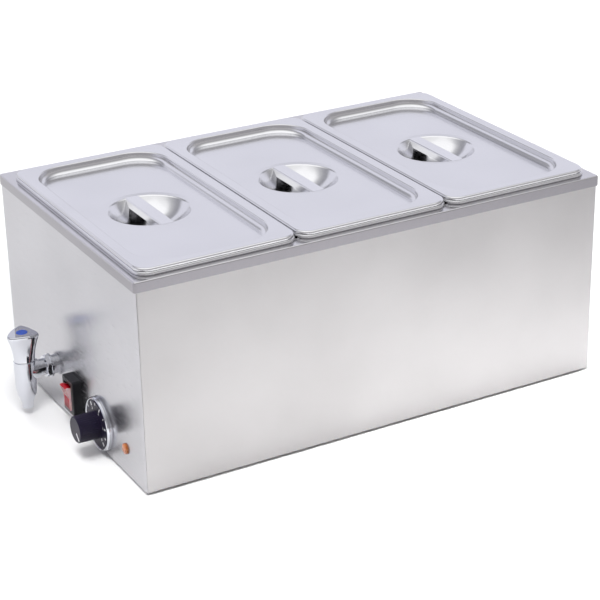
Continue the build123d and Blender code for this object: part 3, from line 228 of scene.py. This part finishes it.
# ---- materials ------------------------------------------------------------------------------
def make_materials():
    kit = {}
    kit["front"] = metal("brushed_front", (0.445, 0.434, 0.437), (0.405, 0.394, 0.397), (0.30, 0.38),
                         (4, 4, 500), 14.0, 0.000004, waves=0.0006)
    kit["end"] = metal("brushed_end", (0.505, 0.499, 0.519), (0.47, 0.465, 0.484), (0.22, 0.28),
                       (4, 4, 200), 14.0, 0.000001, waves=0.00008)
    kit["deck"] = metal("polished_deck", (0.66, 0.65, 0.67), (0.62, 0.61, 0.63), (0.12, 0.20),
                        (4, 4, 200), 30.0, 0.000002)
    # painted shade on the deck's upright flange faces
    dull_sides(kit["deck"], (0.30, 0.29, 0.31))
    kit["lid"] = metal("satin_lid", (0.78, 0.78, 0.80), (0.74, 0.74, 0.76), (0.14, 0.20),
                       (1, 1, 1), 700.0, 0.0000015, waves=0.0002)
    kit["bar"] = metal("polished_bar", (0.82, 0.82, 0.84), (0.76, 0.76, 0.78), (0.12, 0.18),
                       (80, 4, 80), 30.0, 0.000002)
    kit["pan"] = metal("satin_pan", (0.80, 0.80, 0.82), (0.72, 0.72, 0.74), (0.16, 0.26),
                       (1, 1, 1), 500.0, 0.000003)
    kit["tank"] = metal("mill_steel", (0.62, 0.62, 0.63), (0.52, 0.52, 0.53), (0.30, 0.45),
                        (60, 4, 4), 20.0, 0.00001)
    kit["zinc"] = metal("zinc_plate", (0.62, 0.63, 0.64), (0.48, 0.50, 0.52), (0.25, 0.42),
                        (1, 1, 1), 300.0, 0.00001)
    kit["chrome"] = metal("chrome", (0.60, 0.61, 0.65), (0.56, 0.57, 0.61), (0.03, 0.06),
                          (1, 1, 1), 120.0, 0.000001)
    kit["brass"] = metal("machined_brass", (0.72, 0.55, 0.26), (0.60, 0.44, 0.20), (0.22, 0.38),
                         (1, 1, 60), 60.0, 0.00001)
    kit["copper"] = metal("drawn_copper", (0.72, 0.38, 0.24), (0.56, 0.27, 0.16), (0.20, 0.36),
                          (60, 4, 4), 40.0, 0.00001)
    kit["black"] = plastic("black_moulded", (0.012, 0.012, 0.014), (0.26, 0.32), 0.000004, shine=0.25)
    kit["knob"] = plastic("black_knob", (0.012, 0.009, 0.024), (0.34, 0.40), 0.000004, shine=0.18)
    kit["rubber"] = plastic("foot_rubber", (0.020, 0.020, 0.020), (0.60, 0.80), 0.00008)
    kit["seal"] = plastic("silicone_seal", (0.45, 0.09, 0.06), (0.50, 0.70), 0.00005)
    kit["ceramic"] = plastic("ceramic_end", (0.80, 0.77, 0.70), (0.20, 0.35), 0.00002, coat=0.4)
    kit["white"] = plastic("white_moulded", (0.75, 0.75, 0.72), (0.35, 0.50), 0.00003)
    kit["ink"] = plastic("white_print", (0.80, 0.80, 0.82), (0.40, 0.55), 0.00001)
    kit["blue"] = plastic("blue_disc", (0.002, 0.05, 0.36), (0.10, 0.16), 0.00001, coat=0.3)
    kit["leads"] = plastic("lead_sleeve", (0.30, 0.03, 0.02), (0.45, 0.60), 0.00004)
    kit["red"] = rocker_lens()
    kit["amber"] = lens("amber_lens", (0.66, 0.20, 0.035), (0.34, 0.08, 0.014))
    return kit


FINISHES = {
    "front": ["body_wrapper"],
    "end": ["control_panel"],
    "deck": ["top_deck"],
    "lid": ["lid_left", "lid_middle", "lid_right"],
    "bar": ["lid_bar_left", "lid_bar_middle", "lid_bar_right"],
    "pan": ["pan_left", "pan_middle", "pan_right"],
    "tank": ["water_tank", "heating_element", "element_clips"],
    "zinc": ["base_plate", "base_screws", "foot_screws", "foot_nuts", "bulb_clips", "cutout_bracket",
             "thermostat_screws", "terminal_screws", "earth_stud", "tap_locknut", "switch_pivot",
             "thermostat_shaft", "switch_terminals", "tap_handle_screw"],
    "chrome": ["tap_body", "tap_nozzle", "tap_handle", "tap_flange_nut", "tap_washer", "dial_bezel"],
    "brass": ["element_bushes", "element_nuts", "drain_elbow", "tap_bonnet", "tap_spindle", "earth_nut"],
    "copper": ["thermostat_capillary", "thermostat_bulb"],
    "black": ["switch_housing", "cable_inlet", "thermostat_body", "overheat_cutout"],
    "knob": ["dial_knob"],
    "rubber": ["rubber_feet"],
    "seal": ["element_gaskets"],
    "ceramic": ["element_terminals"],
    "white": ["terminal_block", "pilot_body"],
    "ink": ["dial_markings"],
    "blue": ["tap_index_disc"],
    "leads": ["wiring_leads"],
    "red": ["switch_rocker"],
    "amber": ["pilot_lens"],
}


def dress(kit):
    for finish, names in FINISHES.items():
        for name in names:
            slots = nodes[name].data.materials
            slots.clear()
            slots.append(kit[finish])


# ---- studio -----------------------------------------------------------------------------------
def make_floor():
    side = 14.0
    mesh = bpy.data.meshes.new("floor")
    corners = [(-side, -side, 0), (side, -side, 0), (side, side, 0), (-side, side, 0)]
    mesh.from_pydata(corners, [], [(0, 1, 2, 3)])
    floor = bpy.data.objects.new("floor", mesh)
    bpy.context.scene.collection.objects.link(floor)
    material, tree, shader = new_material("pale_floor")
    shader.inputs["Base Color"].default_value = (0.92, 0.92, 0.92, 1)
    shader.inputs["Roughness"].default_value = 0.9
    shader.inputs["Specular IOR Level"].default_value = 0.1
    mesh.materials.append(material)


def make_world():
    """A soft studio round the object: pale behind, darker in front, a bright ceiling."""
    world = bpy.data.worlds.new("studio")
    bpy.context.scene.world = world
    world.use_nodes = True
    tree = world.node_tree
    place = node(tree, "ShaderNodeTexCoord")
    split = node(tree, "ShaderNodeSeparateXYZ")
    tree.links.new(place.outputs["Generated"], split.inputs["Vector"])
    # height of a direction above the horizon, as its sine
    back = node(tree, "ShaderNodeValToRGB")
    stops = [(0.00, (0.42, 0.42, 0.45)), (0.20, (0.84, 0.84, 0.93)), (0.50, (0.87, 0.87, 0.96)),
             (0.56, (0.35, 0.35, 0.38)), (0.66, (0.40, 0.40, 0.43)), (0.78, (0.66, 0.66, 0.68)),
             (0.86, (1.15, 1.15, 1.15)), (1.00, (1.15, 1.15, 1.15))]
    fill_ramp(back.color_ramp, stops)
    front = node(tree, "ShaderNodeValToRGB")
    stops = [(0.00, (0.50, 0.48, 0.48)), (0.30, (0.50, 0.49, 0.50)), (0.55, (0.42, 0.41, 0.42)),
             (0.72, (0.58, 0.58, 0.58)), (0.86, (1.00, 1.00, 1.00)), (1.00, (1.15, 1.15, 1.15))]
    fill_ramp(front.color_ramp, stops)
    for one in (back, front):
        tree.links.new(split.outputs["Z"], one.inputs["Fac"])
    side = ramp(tree, split.outputs["Y"], 0, 1, -0.25, 0.25)
    mixed = node(tree, "ShaderNodeMixRGB")
    tree.links.new(side, mixed.inputs["Fac"])
    tree.links.new(front.outputs["Color"], mixed.inputs["Color1"])
    tree.links.new(back.outputs["Color"], mixed.inputs["Color2"])
    tree.links.new(mixed.outputs["Color"], tree.nodes["Background"].inputs["Color"])
    tree.nodes["Background"].inputs["Strength"].default_value = 1.0


def fill_ramp(color_ramp, stops):
    while len(color_ramp.elements) > 1:
        color_ramp.elements.remove(color_ramp.elements[-1])
    color_ramp.elements[0].position = stops[0][0]
    color_ramp.elements[0].color = (*stops[0][1], 1)
    for position, colour in stops[1:]:
        color_ramp.elements.new(position).color = (*colour, 1)


# name, place in metres, size in metres, power in watts; each shines straight down
SOFT_LIGHTS = [
    ("overhead", (0.4, 0.5, 2.6), (3.0, 2.4), 3.0),
    ("front_soft", (0.20, -0.20, 0.54), (0.30, 0.14), 4.7),
    ("left_soft", (-0.40, -0.18, 0.46), (0.20, 0.20), 1.7),
    ("back_soft", (0.45, 1.60, 1.6), (2.4, 1.2), 24.0),
]


# lamps that light the floor and the plastics but don't show as spots in the metal
HIDDEN_IN_METAL = ("front_soft", "left_soft", "back_soft")


def make_lights():
    for name, place, size, power in SOFT_LIGHTS:
        data = bpy.data.lights.new(name, "AREA")
        data.shape = "RECTANGLE"
        data.size, data.size_y = size
        data.energy = power
        light = bpy.data.objects.new(name, data)
        light.location = place
        light.visible_glossy = name not in HIDDEN_IN_METAL
        bpy.context.scene.collection.objects.link(light)


# ---- printed numbers on the dial ------------------------------------------------------------
DIAL_NUMBERS = 6
DIAL_SWEEP = 270.0
NUMBER_START = 225.0
NUMBER_RADIUS = 0.0174
NUMBER_SIZE = 0.0042
NUMBER_PROUD = 0.0001
NUMBER_DEPTH = 0.00005
NUMBER_EDGE = 0.00003


def make_numbers(ink):
    """Plain numbers printed on the dial's skirt, between the scale marks and the grip."""
    marks_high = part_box("dial_markings")[1]
    skirt_low, skirt_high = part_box("dial_knob")
    centre = Vector((0, (skirt_low[1] + skirt_high[1]) / 2, (skirt_low[2] + skirt_high[2]) / 2))
    face = marks_high[0] - NUMBER_PROUD
    for index in range(DIAL_NUMBERS):
        turn = math.radians(NUMBER_START - index * DIAL_SWEEP / (DIAL_NUMBERS - 1))
        curve = bpy.data.curves.new(f"dial_number_{index}", "FONT")
        curve.body = str(index)
        curve.size = NUMBER_SIZE
        curve.align_x, curve.align_y = "CENTER", "CENTER"
        curve.extrude, curve.bevel_depth = NUMBER_DEPTH, NUMBER_EDGE
        piece = bpy.data.objects.new(f"dial_number_{index}", curve)
        bpy.context.scene.collection.objects.link(piece)
        curve.materials.append(ink)
        # seen from outside the panel, -Y is to the reader's right, so the text runs along it
        along, up = Vector((0, -1, 0)), Vector((0, 0, 1))
        axis = Vector((-1, 0, 0))
        place = centre + NUMBER_RADIUS * (math.cos(turn) * Vector((0, 1, 0)) + math.sin(turn) * up)
        place.x = face
        piece.matrix_world = Matrix.Translation(place) @ Matrix((along, up, axis)).transposed().to_4x4()
        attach(piece, "dial")


make_camera()
make_floor()
make_world()
make_lights()
kit = make_materials()
dress(kit)
make_numbers(kit["ink"])
bpy.context.scene.view_settings.view_transform = "Standard"
bpy.context.scene.view_settings.look = "None"
